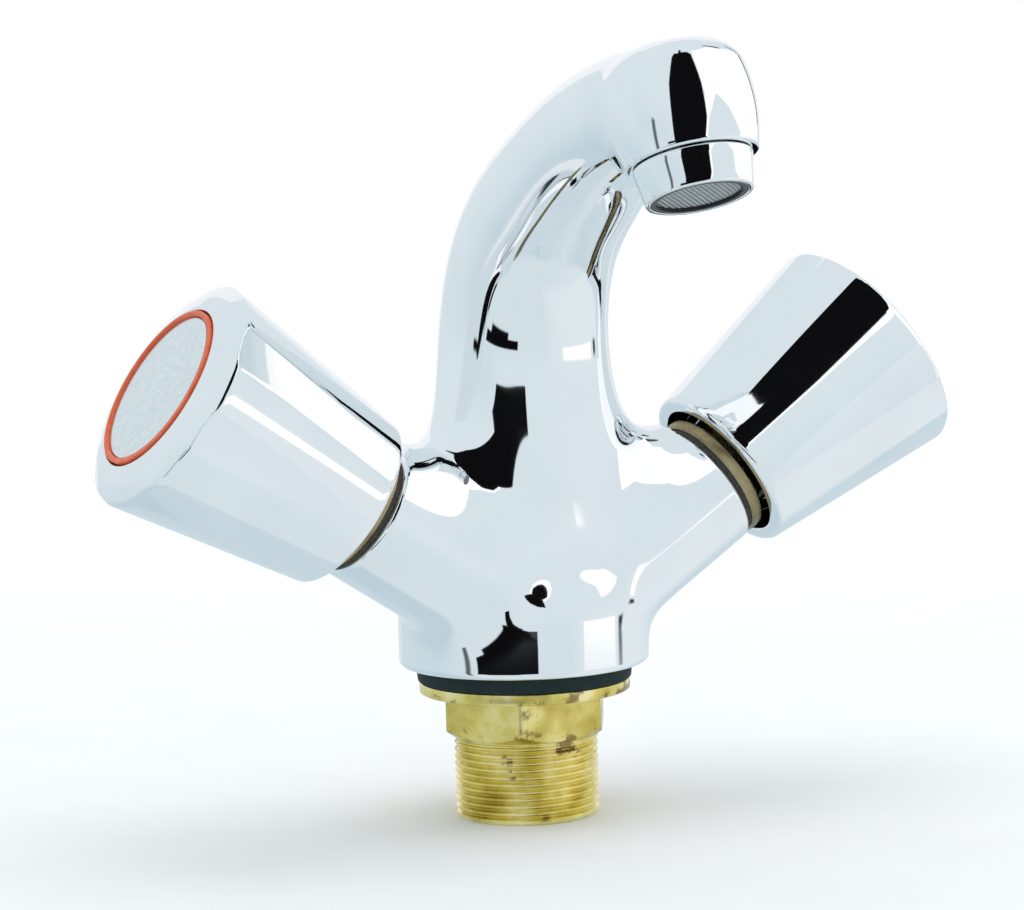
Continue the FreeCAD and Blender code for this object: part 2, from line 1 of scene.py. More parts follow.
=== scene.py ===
"""Looks of the two-handle basin mixer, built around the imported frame.

Shapes are worked out in millimetres and turned into metres where a mesh is made.
"""
import bpy
import bmesh
import json
import math
import numpy as np
from mathutils import Matrix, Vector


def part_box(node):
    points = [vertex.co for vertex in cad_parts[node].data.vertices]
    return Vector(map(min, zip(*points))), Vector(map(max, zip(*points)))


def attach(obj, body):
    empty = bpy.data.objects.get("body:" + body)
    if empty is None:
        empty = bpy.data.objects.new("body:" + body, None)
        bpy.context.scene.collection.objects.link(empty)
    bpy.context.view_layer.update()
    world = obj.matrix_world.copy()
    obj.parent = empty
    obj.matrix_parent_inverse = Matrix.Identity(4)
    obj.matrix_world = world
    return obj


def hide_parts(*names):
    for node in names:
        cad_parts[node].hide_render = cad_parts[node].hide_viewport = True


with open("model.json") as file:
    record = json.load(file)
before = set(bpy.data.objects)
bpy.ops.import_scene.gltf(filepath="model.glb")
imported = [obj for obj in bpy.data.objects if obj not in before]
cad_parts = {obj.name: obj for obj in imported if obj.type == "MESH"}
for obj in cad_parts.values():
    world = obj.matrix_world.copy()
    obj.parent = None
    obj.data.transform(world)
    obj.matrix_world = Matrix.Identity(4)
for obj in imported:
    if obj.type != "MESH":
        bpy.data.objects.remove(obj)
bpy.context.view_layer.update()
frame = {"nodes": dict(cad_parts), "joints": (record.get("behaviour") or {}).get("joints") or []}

MM = 0.001
JOINTS = {joint["name"]: joint for joint in frame["joints"]}
SIDES = ("hot", "cold")
TINY = 1e-6


def unit(v):
    v = np.asarray(v, float)
    return v / np.linalg.norm(v)


# ---------------------------------------------------------------- the frame's own places
ARM_START = np.array(JOINTS["hot_handle_turn"]["pos_m"], float) / MM
ARM_AXIS = {side: unit(JOINTS[side + "_handle_turn"]["axis"]) for side in SIDES}
BASE_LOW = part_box("base_gasket")[1][2] / MM
SHANK_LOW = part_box("shank")[0][2] / MM

# Casting. The arms, the spout's stations and the nozzle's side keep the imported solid's numbers.
# The base's dome and the nozzle's corner are one round each, and the spout starts lower, inside the base.
BASE_R, DOME_CENTRE_R, DOME_CENTRE_Z, DOME_R = 26.1, 4.71, 16.12, 21.39
ARM_R, ARM_END = 14.0, 47.5
STATIONS = np.array([
    # y, z, half depth, half width along the spout
    (-3.7, 4.0, 17.8, 18.8),
    (-3.7, 20.0, 17.8, 18.8),
    (-3.9, 50.0, 16.8, 18.4),
    (-3.8, 76.7, 15.4, 17.2),
    (-10.0, 92.8, 14.8, 16.4),
    (-25.0, 106.0, 13.6, 15.2),
    (-43.5, 116.2, 12.3, 14.0),
    (-62.0, 121.0, 11.8, 13.4),
    (-73.0, 122.2, 11.3, 13.0),
])
SQUARENESS = 2.4
NOZZLE_TIP = np.array([0, -78.1, 104.2])
NOZZLE_LEAN = math.radians(20.4)
NOZZLE_UP = np.array([0, math.sin(NOZZLE_LEAN), math.cos(NOZZLE_LEAN)])
NOZZLE_RIM_H, NOZZLE_TOP_H, NOZZLE_CORNER = 7.4, 29.4, 5.0
NOZZLE_SIDE = np.polyfit([7.4, 17.0, 24.0], [12.9, 14.3, 13.6], 2)


# ---------------------------------------------------------------- distance fields
def natural_spline(knots, values):
    """Second derivatives of the natural cubic spline through the values."""
    n = len(knots)
    gap = np.diff(knots)
    system = np.eye(n)
    right = np.zeros_like(values)
    for i in range(1, n - 1):
        system[i, i - 1:i + 2] = gap[i - 1], 2 * (gap[i - 1] + gap[i]), gap[i]
        right[i] = 6 * ((values[i + 1] - values[i]) / gap[i] - (values[i] - values[i - 1]) / gap[i - 1])
    return np.linalg.solve(system, right)


class Spine:
    """Smooth centre line of the spout with its half depth and half width."""

    SAMPLES, BLOCK, ROUNDS = 60, 20000, 4
    LEAST_STIFF, LONGEST_MOVE = 0.2, 2

    def __init__(self, stations):
        steps = np.linalg.norm(np.diff(stations[:, :2], axis=0), axis=1)
        self.knots = np.concatenate([[0], np.cumsum(steps)])
        self.values = stations
        self.bend = natural_spline(self.knots, stations)
        self.samples = np.linspace(0, self.knots[-1], self.SAMPLES)
        self.line = self.at(self.samples)[:, :2]

    def at(self, t, order=0):
        """Value of the curve at t, or its first or second derivative."""
        i = np.clip(np.searchsorted(self.knots, t) - 1, 0, len(self.knots) - 2)
        h = (self.knots[i + 1] - self.knots[i])[:, None]
        a = (self.knots[i + 1] - t)[:, None] / h
        b = 1 - a
        lo, hi = self.values[i], self.values[i + 1]
        blo, bhi = self.bend[i], self.bend[i + 1]
        if order == 0:
            return a * lo + b * hi + ((a ** 3 - a) * blo + (b ** 3 - b) * bhi) * h * h / 6
        if order == 1:
            return (hi - lo) / h - (3 * a * a - 1) / 6 * h * blo + (3 * b * b - 1) / 6 * h * bhi
        return a * blo + b * bhi

    def nearest(self, yz):
        """Place on the curve nearest to each point."""
        t = np.empty(len(yz))
        for i in range(0, len(yz), self.BLOCK):
            block = yz[i:i + self.BLOCK]
            gaps = ((block[:, None, :] - self.line[None]) ** 2).sum(2)
            t[i:i + self.BLOCK] = self.samples[np.argmin(gaps, 1)]
        for _ in range(self.ROUNDS):
            c, d, dd = (self.at(t, k)[:, :2] for k in range(3))
            off = yz - c
            slope = (off * d).sum(1)
            stiff = (d * d).sum(1) - (off * dd).sum(1)
            move = slope / np.maximum(stiff, self.LEAST_STIFF)
            move = np.clip(move, -self.LONGEST_MOVE, self.LONGEST_MOVE)
            t = np.clip(t + move, 0, self.knots[-1])
        return t


spine = Spine(STATIONS)
OUTSIDE = -99.0
LEAST_G = 0.05


def spout_field(p):
    """Distance to the spout, a squarish section swept along its spine, and the direction it grows in."""
    yz = p[:, 1:]
    t = spine.nearest(yz)
    here = spine.at(t)
    along = spine.at(t, 1)[:, :2]
    along /= np.linalg.norm(along, axis=1)[:, None]
    off = yz - here[:, :2]
    v = off[:, 0] * along[:, 1] - off[:, 1] * along[:, 0]
    ended = (t <= 0) | (t >= spine.knots[-1])
    past = np.where(ended, np.abs((off * along).sum(1)), OUTSIDE)
    u = p[:, 0]
    a, b = np.abs(u) / here[:, 3], np.abs(v) / here[:, 2]
    g = (a ** SQUARENESS + b ** SQUARENESS) ** (1 / SQUARENESS)
    rho = np.hypot(u, v)
    smallest = np.minimum(here[:, 2], here[:, 3])
    d = np.where(g > LEAST_G, rho - rho / np.maximum(g, LEAST_G), -smallest)
    gu = a ** (SQUARENESS - 1) * np.sign(u) / here[:, 3]
    gv = b ** (SQUARENESS - 1) * np.sign(v) / here[:, 2]
    n = np.stack([gu, gv * along[:, 1], -gv * along[:, 0]], 1)
    n /= np.maximum(np.linalg.norm(n, axis=1), 1e-9)[:, None]
    return np.maximum(d, past), n


ARM_PAST = 3
ARM_BEHIND = 0.4


def arm_field(p, side):
    """Distance to an arm, a round bar along its joint's axis."""
    q = p - ARM_START
    s = q @ ARM_AXIS[side]
    out = q - s[:, None] * ARM_AXIS[side]
    rho = np.linalg.norm(out, axis=1)
    n = out / np.maximum(rho, TINY)[:, None]
    return np.maximum(np.maximum(rho - ARM_R, s - ARM_END - ARM_PAST), -s - ARM_R * ARM_BEHIND), n


BASE_PAST = 3


def base_field(p):
    """Distance to the base, a round foot with a domed top."""
    rho = np.hypot(p[:, 0], p[:, 1])
    a, b = np.maximum(rho - DOME_CENTRE_R, 0), np.maximum(p[:, 2] - DOME_CENTRE_Z, 0)
    reach = np.hypot(a, b)
    safe = np.maximum(reach, TINY)
    flat = a / safe / np.maximum(rho, TINY)
    n = np.stack([p[:, 0] * flat, p[:, 1] * flat, b / safe], 1)
    return np.maximum(reach - DOME_R, BASE_LOW - BASE_PAST - p[:, 2]), n


NOZZLE_FIT = 3, 30
NOZZLE_LOW = 4


def nozzle_field(p):
    """Distance to the nozzle, a barrel with a rounded top."""
    q = p - NOZZLE_TIP
    h = q @ NOZZLE_UP
    out = q - h[:, None] * NOZZLE_UP
    rho = np.linalg.norm(out, axis=1)
    side = rho - np.polyval(NOZZLE_SIDE, np.clip(h, *NOZZLE_FIT))
    top = h - NOZZLE_TOP_H
    a, b = np.maximum(side + NOZZLE_CORNER, 0), np.maximum(top + NOZZLE_CORNER, 0)
    reach = np.hypot(a, b)
    d = np.minimum(np.maximum(side, top) + NOZZLE_CORNER, 0) + reach - NOZZLE_CORNER
    safe = np.maximum(reach, TINY)
    n = out / np.maximum(rho, TINY)[:, None] * (a / safe)[:, None] + NOZZLE_UP * (b / safe)[:, None]
    return np.maximum(d, NOZZLE_LOW - h), n


LEAST_BLEND = 3.0
WIDEST_TURN = 1.6


def blend(one, two, width):
    """Union with a soft inner corner that is wide where the surfaces meet at an angle."""
    (a, na), (b, nb) = one, two
    turn = np.clip(1 - (na * nb).sum(1), 0, WIDEST_TURN) / WIDEST_TURN
    k = LEAST_BLEND + width * turn
    h = np.clip(1 - np.abs(a - b) / k, 0, 1)
    share = np.where(a < b, h * h / 2, 1 - h * h / 2)[:, None]
    n = na * (1 - share) + nb * share
    n /= np.maximum(np.linalg.norm(n, axis=1), TINY)[:, None]
    return np.minimum(a, b) - h ** 3 * k / 6, n


ARMS_BLEND, COLUMN_BLEND, BASE_BLEND, NOZZLE_BLEND = 12, 34, 12, 7


def casting_field(p):
    """Distance to the whole casting."""
    arms = blend(arm_field(p, "hot"), arm_field(p, "cold"), ARMS_BLEND)
    column = blend(spout_field(p), arms, COLUMN_BLEND)
    body = blend(column, base_field(p), BASE_BLEND)
    return blend(body, nozzle_field(p), NOZZLE_BLEND)[0]


def gradient(field, p, step=0.02):
    g = np.empty_like(p)
    for axis in range(3):
        off = np.zeros(3)
        off[axis] = step
        g[:, axis] = (field(p + off) - field(p - off)) / (2 * step)
    return g


BLOCK = 6
BLOCK_MARGIN = 1.25
LEAST_STEEP = 0.05
SETTLE_ROUNDS = 3


def surface_of(field, low, high, cell):
    """Quads of the zero surface of a distance field, with vertices moved onto it."""
    block = BLOCK
    low = np.asarray(low, float)
    count = np.ceil((np.asarray(high) - low) / (cell * block)).astype(int)
    size = count * block
    corner = np.stack(np.meshgrid(*[np.arange(c) for c in count], indexing="ij"), -1).reshape(-1, 3)
    middle = low + (corner * block + block / 2) * cell
    value = field(middle)
    grid = np.repeat(np.repeat(np.repeat(value.reshape(count), block, 0), block, 1), block, 2)
    near = np.abs(value) < block * cell * BLOCK_MARGIN
    inner = np.stack(np.meshgrid(*[np.arange(block)] * 3, indexing="ij"), -1).reshape(-1, 3)
    places = (corner[near][:, None, :] * block + inner).reshape(-1, 3)
    grid[tuple(places.T)] = field(low + places * cell)
    inside = grid < 0
    offsets = np.array([(i, j, k) for i in (0, 1) for j in (0, 1) for k in (0, 1)])
    wide, deep, tall = size - 1
    total = sum(inside[i:wide + i, j:deep + j, k:tall + k].astype(np.int8) for i, j, k in offsets)
    mixed = (total > 0) & (total < len(offsets))
    cells = np.argwhere(mixed)
    index = -np.ones(size, np.int64)
    index[tuple(cells.T)] = np.arange(len(cells))
    corners = np.stack([grid[tuple((cells + o).T)] for o in offsets], 1)
    total_point, hits = np.zeros((len(cells), 3)), np.zeros(len(cells))
    for i in range(len(offsets)):
        for j in range(i + 1, len(offsets)):
            if np.abs(offsets[i] - offsets[j]).sum() == 1:
                a, b = corners[:, i], corners[:, j]
                cross = (a < 0) != (b < 0)
                t = np.where(cross, a / np.where(cross, a - b, 1), 0)[:, None]
                total_point += np.where(cross[:, None], offsets[i] + (offsets[j] - offsets[i]) * t, 0)
                hits += cross
    points = low + (cells + total_point / hits[:, None]) * cell
    quads = []
    for axis in range(3):
        one, two = (axis + 1) % 3, (axis + 2) % 3
        a = [slice(None)] * 3
        b = [slice(None)] * 3
        a[axis], b[axis] = slice(0, -1), slice(1, None)
        first, second = inside[tuple(a)], inside[tuple(b)]
        edges = np.argwhere(first != second)
        edges = edges[(edges[:, one] > 0) & (edges[:, two] > 0)]
        around = []
        for du, dv in ((-1, -1), (0, -1), (0, 0), (-1, 0)):
            cell_at = edges.copy()
            cell_at[:, one] += du
            cell_at[:, two] += dv
            around.append(index[tuple(cell_at.T)])
        found = np.stack(around, 1)
        flip = ~first[tuple(edges.T)]
        found[flip] = found[flip][:, ::-1]
        quads.append(found[(found >= 0).all(1)])
    for _ in range(SETTLE_ROUNDS):
        g = gradient(field, points)
        steep = np.maximum((g * g).sum(1), LEAST_STEEP)
        points -= g * np.clip(field(points) / steep, -cell, cell)[:, None]
    return points, np.concatenate(quads)


# ---------------------------------------------------------------- meshes
def added(name, data):
    """New object in the scene."""
    thing = bpy.data.objects.new(name, data)
    bpy.context.scene.collection.objects.link(thing)
    return thing


def make_piece(name, points, faces, normals, material, body, slot, node):
    """Mesh object from points in millimetres, with its own smooth normals."""
    mesh = bpy.data.meshes.new(name)
    mesh.from_pydata((np.asarray(points) * MM).tolist(), [], faces)
    mesh.materials.append(material)
    mesh.polygons.foreach_set("use_smooth", np.ones(len(mesh.polygons), bool))
    mesh.update()
    lengths = np.maximum(np.linalg.norm(normals, axis=1), 1e-9)[:, None]
    mesh.normals_split_custom_set_from_vertices((normals / lengths).tolist())
    piece = added(name, mesh)
    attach(piece, body)
    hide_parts(node)


def rounded(corners, steps=5):
    """Outline of (radius, height, rounding) corners as points with normals to its right."""
    corners = np.asarray(corners, float)
    points = []
    for i, (r, h, soft) in enumerate(corners):
        here = corners[i, :2]
        if soft == 0 or i in (0, len(corners) - 1):
            points.append(here)
            continue
        back, ahead = unit(corners[i - 1, :2] - here), unit(corners[i + 1, :2] - here)
        half = math.acos(np.clip(back @ ahead, -1, 1)) / 2
        reach = soft / math.tan(half)
        centre = here + unit(back + ahead) * soft / math.sin(half)
        first, last = here + back * reach - centre, here + ahead * reach - centre
        span = math.pi - 2 * half
        for k in range(steps + 1):
            f = k / steps
            swept = first * math.sin((1 - f) * span) + last * math.sin(f * span)
            points.append(centre + swept / math.sin(span))
    points = np.array(points)
    runs = np.diff(points, axis=0)
    lean = np.stack([runs[:, 1], -runs[:, 0]], 1)
    lean /= np.linalg.norm(lean, axis=1)[:, None]
    normals = np.concatenate([lean[:1], lean[:-1] + lean[1:], lean[-1:]])
    return points, normals


def dense(corners, longest, steps=5):
    """The rounded outline with its long runs divided."""
    points, _ = rounded(corners, steps)
    out = [points[0]]
    for a, b in zip(points[:-1], points[1:]):
        n = max(1, int(math.ceil(np.linalg.norm(b - a) / longest)))
        out += [a + (b - a) * k / n for k in range(1, n + 1)]
    return np.array(out)


def ring_faces(rows, around):
    """Quads of a grid of points, rows times around, closed round each row."""
    faces = []
    for i in range(rows - 1):
        a, b = i * around, (i + 1) * around
        for j in range(around):
            k = (j + 1) % around
            faces.append((a + j, a + k, b + k, b + j))
    return faces


def turned(outline, around, shape=None, loop=False):
    """Turned body from an outline of (radius, height), bent by shape(angle, r, h).

    The outline runs upward on the outside. It starts and ends on the axis, or closes on itself.
    """
    angle = np.linspace(0, 2 * np.pi, around, endpoint=False)
    rings = outline if loop else outline[1:-1]

    def at(turn, r, h):
        if shape is not None:
            r, h = shape(turn, r, h)
        return np.stack([r * np.cos(turn), r * np.sin(turn), h], -1)

    turn, r = np.meshgrid(angle, rings[:, 0])
    _, h = np.meshgrid(angle, rings[:, 1])
    grid = at(turn, r, h)
    small = 1e-3
    along = at(turn + small, r, h) - at(turn - small, r, h)
    poles = np.array([(0, 0, outline[0][1]), (0, 0, outline[-1][1])])
    if loop:
        before, after = np.roll(grid, 1, 0), np.roll(grid, -1, 0)
    else:
        ends = [np.broadcast_to(pole, (1, around, 3)) for pole in poles]
        before = np.concatenate([ends[0], grid[:-1]])
        after = np.concatenate([grid[1:], ends[1]])
    normals = np.zeros_like(grid)
    for run in (grid - before, after - grid):
        cross = np.cross(along, run)
        normals += cross / np.maximum(np.linalg.norm(cross, axis=2), 1e-12)[..., None]
    points, normals = grid.reshape(-1, 3), normals.reshape(-1, 3)
    faces = ring_faces(len(rings), around)
    last = (len(rings) - 1) * around
    if loop:
        faces += [(last + j, last + (j + 1) % around, (j + 1) % around, j) for j in range(around)]
        return points, faces, normals
    low, top = len(points), len(points) + 1
    for j in range(around):
        k = (j + 1) % around
        faces.append((low, k, j))
        faces.append((top, last + j, last + k))
    ends = [(0, 0, np.sign(normals[:around, 2].mean())), (0, 0, np.sign(normals[-around:, 2].mean()))]
    return np.concatenate([points, poles]), faces, np.concatenate([normals, ends])


def placed(parts, place):
    """Points, faces and normals moved to a place: an origin and three axes as columns."""
    points, faces, normals = parts
    origin, axes = place
    return points @ axes.T + origin, faces, normals @ axes.T


def arm_place(side):
    """Place at the start of an arm, with the third axis along it."""
    axis = ARM_AXIS[side]
    return ARM_START, np.stack([np.cross((0, 1, 0), axis), (0, 1, 0), axis], 1)


NOZZLE_PLACE = NOZZLE_TIP, np.stack([(1, 0, 0), np.cross(NOZZLE_UP, (1, 0, 0)), NOZZLE_UP], 1)


# ---------------------------------------------------------------- casting
AROUND_END, NEAR_CUT, PAST_CUT = 3, 6, 12
END_STEPS = 8
FLIPPED = np.diag([1.0, -1.0, -1.0])
CASTING_CELL = 0.85
CASTING_LOW, CASTING_HIGH = (-52, -98, 1), (52, 30, 140)
BASE_BORE_R, ARM_BORE_R, OUTLET_R = 13.6, 10.6, 10.75


def finish_end(bm, layer, place, cut, corners):
    """Cut a round end square at height cut along its outward axis, then turn it in and close it."""
    origin, axes = place
    radius = corners[0][0]
    points = (np.array([v.co for v in bm.verts]) - origin) @ axes
    rho = np.hypot(points[:, 0], points[:, 1])
    local = (rho < radius + AROUND_END) & (np.abs(points[:, 2] - cut) < NEAR_CUT)
    verts = [v for v, near in zip(bm.verts, local) if near]
    keep = set(verts)
    faces = [f for f in {f for v in verts for f in v.link_faces} if all(v in keep for v in f.verts)]
    edges = {e for f in faces for e in f.edges}
    bmesh.ops.bisect_plane(bm, geom=verts + list(edges) + faces, dist=1e-5,
                           plane_co=origin + axes[:, 2] * cut, plane_no=axes[:, 2])
    points = (np.array([v.co for v in bm.verts]) - origin) @ axes
    rho = np.hypot(points[:, 0], points[:, 1])
    beyond = (rho < radius + AROUND_END) & (points[:, 2] > cut + 1e-3) & (points[:, 2] < cut + PAST_CUT)
    bmesh.ops.delete(bm, geom=[v for v, out in zip(bm.verts, beyond) if out], context="VERTS")
    ring = [e for e in bm.edges if e.is_boundary]
    rim = {v for e in ring for v in e.verts}
    turn = {}
    for v in rim:
        x, y, _ = (np.array(v.co) - origin) @ axes
        turn[v] = math.atan2(y, x)
        v.co = origin + axes @ (radius * math.cos(turn[v]), radius * math.sin(turn[v]), cut)
    outline, normals = rounded(corners, END_STEPS)
    for (r, h), (nr, nh) in zip(outline[1:], normals[1:]):
        grown = bmesh.ops.extrude_edge_only(bm, edges=ring)["geom"]
        fresh = {v for v in grown if isinstance(v, bmesh.types.BMVert)}
        ring = [e for e in grown if isinstance(e, bmesh.types.BMEdge) and all(v in fresh for v in e.verts)]
        for v in fresh:
            x, y, _ = (np.array(v.co) - origin) @ axes
            c, d = unit((x, y))
            v.co = origin + axes @ (r * c, r * d, h)
            v[layer] = axes @ (nr * c, nr * d, nh)
    bmesh.ops.edgeloop_fill(bm, edges=ring)


def casting(cell):
    """Base, arms, column, spout and nozzle as one smooth skin with turned ends."""
    points, quads = surface_of(casting_field, CASTING_LOW, CASTING_HIGH, cell)
    bm = bmesh.new()
    layer = bm.verts.layers.float_vector.new("own_normal")
    verts = [bm.verts.new(p) for p in points.tolist()]
    for a, b, c, d in quads.tolist():
        bm.faces.new((verts[a], verts[b], verts[c], verts[d]))
    down = np.zeros(3), FLIPPED
    finish_end(bm, layer, down, -BASE_LOW - 1.5,
               [(BASE_R, -BASE_LOW - 1.5, 0), (BASE_R, -BASE_LOW, 1.45),
                (BASE_BORE_R, -BASE_LOW, 0.3), (BASE_BORE_R, -BASE_LOW - 6, 0)])
    for side in SIDES:
        finish_end(bm, layer, arm_place(side), ARM_END - 1.3,
                   [(ARM_R, ARM_END - 1.3, 0), (ARM_R, ARM_END, 1.2),
                    (ARM_BORE_R, ARM_END, 0.3), (ARM_BORE_R, ARM_END - 10, 0)])
    outlet = NOZZLE_TIP, NOZZLE_PLACE[1] @ FLIPPED
    rim = float(np.polyval(NOZZLE_SIDE, NOZZLE_RIM_H + 0.6))
    finish_end(bm, layer, outlet, -NOZZLE_RIM_H - 0.6,
               [(rim, -NOZZLE_RIM_H - 0.6, 0), (rim - 0.1, -NOZZLE_RIM_H, 0.5),
                (OUTLET_R, -NOZZLE_RIM_H, 0.2), (OUTLET_R, -NOZZLE_RIM_H - 6, 0)])
    bmesh.ops.recalc_face_normals(bm, faces=bm.faces)
    bm.verts.index_update()
    points = np.array([v.co for v in bm.verts])
    normals = np.array([v[layer] for v in bm.verts])
    skin = np.linalg.norm(normals, axis=1) < 0.1
    normals[skin] = gradient(casting_field, points[skin])
    faces = [tuple(v.index for v in f.verts) for f in bm.faces]
    bm.free()
    return points, faces, normals


# ---------------------------------------------------------------- handles
LIP_S, CORNER_S = 51.4, 95.6
LIP_R, CORNER_R = 18.4, 24.9
FLUTE_TURN = {"hot": 31.0, "cold": 4.0}
FLUTES, FLUTE_R, FLUTE_DEPTH, FLUTE_EDGE = 8, 80.0, 0.65, 0.08
NO_FLUTE = 99.0
WALL_START = LIP_R - 3.3
INDEX_SEAT, INDEX_R, CAP_R = 96.9, 17.2, 15.9
OUTLINE_STEP = 1.1


def flutes(side):
    """Bends the plain cone in along shallow, almost flat flutes that fade out at the lip."""
    start = math.radians(FLUTE_TURN[side])
    pitch = 2 * math.pi / FLUTES
    near_s = LIP_S + 1.0
    near = LIP_R + (CORNER_R - LIP_R) / (CORNER_S - LIP_S) + FLUTE_R
    far = CORNER_R - FLUTE_DEPTH + FLUTE_R

    def shape(turn, r, s):
        off = (turn - start + pitch / 2) % pitch - pitch / 2
        away = near + (far - near) * (s - near_s) / (CORNER_S - near_s)
        under = FLUTE_R ** 2 - (away * np.sin(off)) ** 2
        hollow = np.where(under > 0, away * np.cos(off) - np.sqrt(np.maximum(under, 0)), NO_FLUTE)
        soft = np.maximum(FLUTE_EDGE - np.abs(r - hollow), 0) / FLUTE_EDGE
        return np.minimum(r, hollow) - soft ** 2 * FLUTE_EDGE / 4 * (r > WALL_START), s

    return shape


def handle_outline():
    """The handle's section from the axis inside, over the lip and the crowned end, to the index's seat."""
    return dense([
        (0, 93.6, 0), (22.2, 93.6, 1.0), (15.3, LIP_S, 0.5), (LIP_R, LIP_S, 1.3),
        (CORNER_R, CORNER_S, 1.4), (21.4, 97.75, 6.0), (17.55, 98.75, 0.35),
        (17.25, INDEX_SEAT, 0.1), (0, INDEX_SEAT, 0),
    ], OUTLINE_STEP)


def ring_outline():
    """The coloured ring's closed section."""
    inside, outside = CAP_R + 0.08, INDEX_R - 0.03
    return dense([(inside, 99.05, 0), (inside, INDEX_SEAT, 0.05), (outside, INDEX_SEAT, 0.05),
                  (outside, 99.1, 0.25), (inside, 99.05, 0)], 1.0)[:-1]


def cap_outline():
    """The cap's section, slightly crowned."""
    return dense([(0, INDEX_SEAT, 0), (CAP_R, INDEX_SEAT, 0.05), (CAP_R, 98.62, 0.3), (8.0, 98.92, 20.0),
                  (0, 99.0, 0)], 1.2)


# ---------------------------------------------------------------- shank
HEX_LOW, FLANGE_TOP = -9.1, 2.4
THREAD_R, THREAD_PITCH, THREAD_DEPTH = 15.0, 1.5, 0.8
HEX_FLATS, HEX_FACE_R, HEX_DROP = 32.0, 15.4, 2.1
HEX_CORNER_R = HEX_FLATS / math.sqrt(3)
TOOTH_STEEP, TOOTH_FLAT, THREAD_FADE_LOW, THREAD_FADE_HIGH = 2.6, 0.25, 1.2, 0.8
THREAD_STEP, HEX_ROWS = 0.125, 26


def shank_shape(turn, r, h):
    """Winds the thread round the tail and cuts the hexagon's flats."""
    phase = (h / THREAD_PITCH - turn / (2 * np.pi)) % 1.0
    tooth = np.clip(np.abs(phase - 0.5) * TOOTH_STEEP - TOOTH_FLAT, 0, 1)
    fade = np.clip((h - SHANK_LOW) / THREAD_FADE_LOW, 0, 1)
    fade = fade * np.clip((HEX_LOW - 0.2 - h) / THREAD_FADE_HIGH, 0, 1)
    threaded = (np.abs(r - THREAD_R) < 0.01) & (h < HEX_LOW)
    wound = r - THREAD_DEPTH * tooth * fade
    flat = HEX_FLATS / 2 / np.cos((turn % (np.pi / 3)) - np.pi / 6)
    lathe = HEX_FACE_R + (h - HEX_LOW) * (HEX_CORNER_R - HEX_FACE_R) / HEX_DROP
    hexed = (r > THREAD_R + 0.2) & (h < 0.001)
    return np.where(threaded, wound, np.where(hexed, np.minimum(np.minimum(r, flat), lathe), r)), h


def shank_outline():
    """The shank's closed section: bore, thread, hexagon and flange."""
    tail = [(11.4, FLANGE_TOP + 9, 0), (11.4, SHANK_LOW, 0.4), (14.1, SHANK_LOW, 0.2)]
    low = dense(tail, 3.0)
    thread = [(THREAD_R, h) for h in np.arange(SHANK_LOW + 0.9, HEX_LOW - 0.05, THREAD_STEP)]
    hexed = [(HEX_FACE_R, HEX_LOW)]
    hexed += [(HEX_CORNER_R, h) for h in np.linspace(HEX_LOW + 0.05, -0.02, HEX_ROWS)]
    top = dense([(HEX_CORNER_R, 0.0, 0), (22.0, 0.0, 0.5), (22.0, FLANGE_TOP, 0.35),
                 (13.5, FLANGE_TOP, 0.2), (13.5, FLANGE_TOP + 9, 0.5), (11.5, FLANGE_TOP + 9, 0)], 3.0)
    return np.concatenate([low, thread, hexed, top])


def gasket_outline():
    """The rubber gasket's closed section."""
    return dense([(13.7, 5.75, 0), (13.7, 2.45, 0.2), (22.3, 2.45, 0.5), (22.6, 5.75, 0.4),
                  (13.7, 5.75, 0)], 2.0)[:-1]


# ---------------------------------------------------------------- aerator
WIRE_SIDES = 5
WIRE_STEPS = 8
SCREEN_R, SCREEN_PITCH, SCREEN_WIRE, SCREEN_HEIGHT = 8.35, 0.62, 0.24, 1.0


def housing_outline():
    """The closed section of the ring round the outlet."""
    return dense([(9.75, 12.0, 0), (9.75, 0.85, 0.1), (9.45, 0.8, 0.1), (9.45, 0.05, 0.15),
                  (10.45, 0.0, 0.45), (11.7, 7.2, 0.35), (10.6, 7.25, 0.1), (10.6, 12.0, 0.2),
                  (9.75, 12.0, 0)], 1.5)[:-1]


def woven_screen(radius, pitch, wire, height):
    """Disc of woven wires, each one passing over and under its neighbours."""
    points, faces, normals = [], [], []
    count = int(radius / pitch)
    for across in (0, 1):
        for i in range(-count, count + 1):
            offset = i * pitch
            half = math.sqrt(max(radius ** 2 - offset ** 2, 0))
            steps = max(3, int(half / pitch * WIRE_STEPS))
            along = np.linspace(-half, half, steps)
            wave = np.cos(np.pi * along / pitch + np.pi * (i + across)) * wire * 0.5
            base = len(points)
            for a, w in zip(along, wave):
                for k in range(WIRE_SIDES):
                    turn = 2 * math.pi * k / WIRE_SIDES
                    side, up = math.cos(turn), math.sin(turn)
                    spot = (a, offset + side * wire / 2, height + w + up * wire / 2)
                    lean = (0, side, up)
                    points.append(spot if across == 0 else (spot[1], spot[0], spot[2]))
                    normals.append(lean if across == 0 else (lean[1], lean[0], lean[2]))
            run = [tuple(base + v for v in f) for f in ring_faces(steps, WIRE_SIDES)]
            run += [tuple(base + k for k in reversed(range(WIRE_SIDES)))]
            run += [tuple(base + (steps - 1) * WIRE_SIDES + k for k in range(WIRE_SIDES))]
            faces += run if across == 0 else [f[::-1] for f in run]
    return np.array(points), faces, np.array(normals)


# ---------------------------------------------------------------- materials
MIX_MASK, MIX_UNDER, MIX_OVER = 0, 6, 7


def new_material(name):
    """Fresh node material, its nodes and links, and its shader."""
    material = bpy.data.materials.new(name)
    material.use_nodes = True
    nodes = material.node_tree.nodes
    return material, nodes, material.node_tree.links, nodes["Principled BSDF"]


